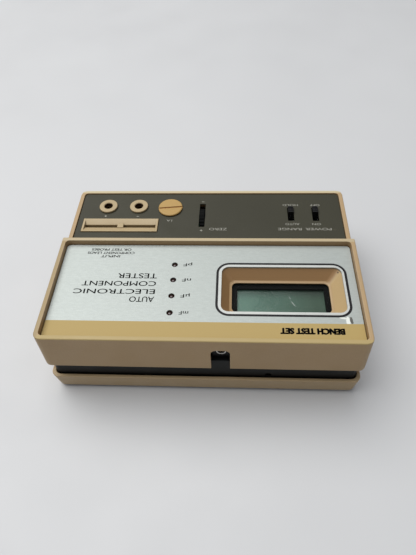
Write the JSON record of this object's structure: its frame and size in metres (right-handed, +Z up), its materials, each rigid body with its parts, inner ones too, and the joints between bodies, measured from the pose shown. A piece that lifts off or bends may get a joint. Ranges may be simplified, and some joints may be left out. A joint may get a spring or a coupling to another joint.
{
  "type": "component tester",
  "caption": "Bench tester for components in a stepped tan case, with a sunken display, range lamps, test jacks, lead socket, fuse, thumbwheel and slide switches.",
  "frame": {"origin": "middle of the underside, on the surface that the rubber feet stand on", "axes": "+Z up; -Y towards the user, who reads the print from there; +Y towards the rear wall with the power inlet; +X to the user's right, the side of the test jacks' end"},
  "size_m": [0.165, 0.117, 0.05],
  "materials": {
    "case_tan": "fine spark texture, satin",
    "terminal_tan": "satin",
    "fuse_cap_tan": "satin",
    "tub_grey": "fine spark texture, matt",
    "panel_silver": "fine brushed, matt anodised, printed",
    "panel_olive": "matt paint, printed",
    "black_plastic": "satin",
    "black_rubber": "matt",
    "clear_plastic": "clear, polished",
    "display_green": "glossy",
    "lamp_red": "glossy",
    "steel": "satin",
    "nickel": "bright plated",
    "brass": "satin",
    "board_green": "solder mask, satin",
    "chip_black": "matt",
    "component_blue": "glossy",
    "battery_wrap": "printed wrap"
  },
  "bodies": {
    "case": {"top_shell": "case_tan", "bottom_cover": "case_tan", "positive_jack_collar": "terminal_tan", "negative_jack_collar": "terminal_tan", "test_socket": "terminal_tan", "middle_case": "tub_grey", "faceplate": "panel_silver", "control_panel": "panel_olive", "display_frame": "black_plastic", "power_inlet": "black_plastic", "fuse_holder": "black_plastic", "fuse_holder_nut": "black_plastic", "lamp_bar": "black_plastic", "rubber_foot_1": "black_rubber", "rubber_foot_2": "black_rubber", "rubber_foot_3": "black_rubber", "rubber_foot_4": "black_rubber", "contact_strip_1": "black_rubber", "contact_strip_2": "black_rubber", "battery_snap": "black_rubber", "battery_lead": "black_rubber", "display_lens": "clear_plastic", "display_glass": "display_green", "lamp_pico": "lamp_red", "lamp_nano": "lamp_red", "lamp_micro": "lamp_red", "lamp_milli": "lamp_red", "case_screw_1": "steel", "case_screw_2": "steel", "case_screw_3": "steel", "case_screw_4": "steel", "board_screw_1": "steel", "board_screw_2": "steel", "board_screw_3": "steel", "board_screw_4": "steel", "power_switch": "steel", "range_switch": "steel", "positive_jack_nut": "steel", "negative_jack_nut": "steel", "inlet_sleeve": "nickel", "inlet_pin": "nickel", "crystal": "nickel", "positive_jack_socket": "brass", "negative_jack_socket": "brass", "positive_socket_spring": "brass", "negative_socket_spring": "brass", "main_board": "board_green", "meter_chip": "chip_black", "logic_chip": "chip_black", "filter_capacitor": "component_blue", "zero_potentiometer": "component_blue", "battery": "battery_wrap"},
    "power_knob": {"power_knob": "black_plastic"},
    "range_knob": {"range_knob": "black_plastic"},
    "zero_wheel": {"zero_wheel": "black_plastic"},
    "fuse_link": {"fuse_glass": "clear_plastic", "fuse_end_1": "nickel", "fuse_end_2": "nickel"},
    "fuse_cap": {"fuse_cap": "fuse_cap_tan"},
    "battery_door": {"battery_door": "case_tan"}
  },
  "joints": [
    {"name": "power_slide", "type": "slide", "parent": "case", "child": "power_knob", "axis": [0, 1, 0], "range_m": [0, 0.0055]},
    {"name": "range_slide", "type": "slide", "parent": "case", "child": "range_knob", "axis": [0, 1, 0], "range_m": [0, 0.0055]},
    {"name": "zero_turn", "type": "hinge", "parent": "case", "child": "zero_wheel", "pos_m": [0.004, -0.0364, 0.0341], "axis": [1, 0, 0], "range_deg": [-135, 135]},
    {"name": "fuse_pull", "type": "slide", "parent": "case", "child": "fuse_link", "axis": [0, 0, 1], "range_m": [0, 0.034]},
    {"name": "fuse_cap_turn", "type": "hinge", "parent": "fuse_link", "child": "fuse_cap", "pos_m": [0.0238, -0.0423, 0.0429], "axis": [0, 0, -1], "range_deg": [-90, 0]},
    {"name": "battery_door_swing", "type": "hinge", "parent": "case", "child": "battery_door", "pos_m": [0.048, -0.0042, 0.0015], "axis": [-1, 0, 0], "range_deg": [0, 95]}
  ]
}
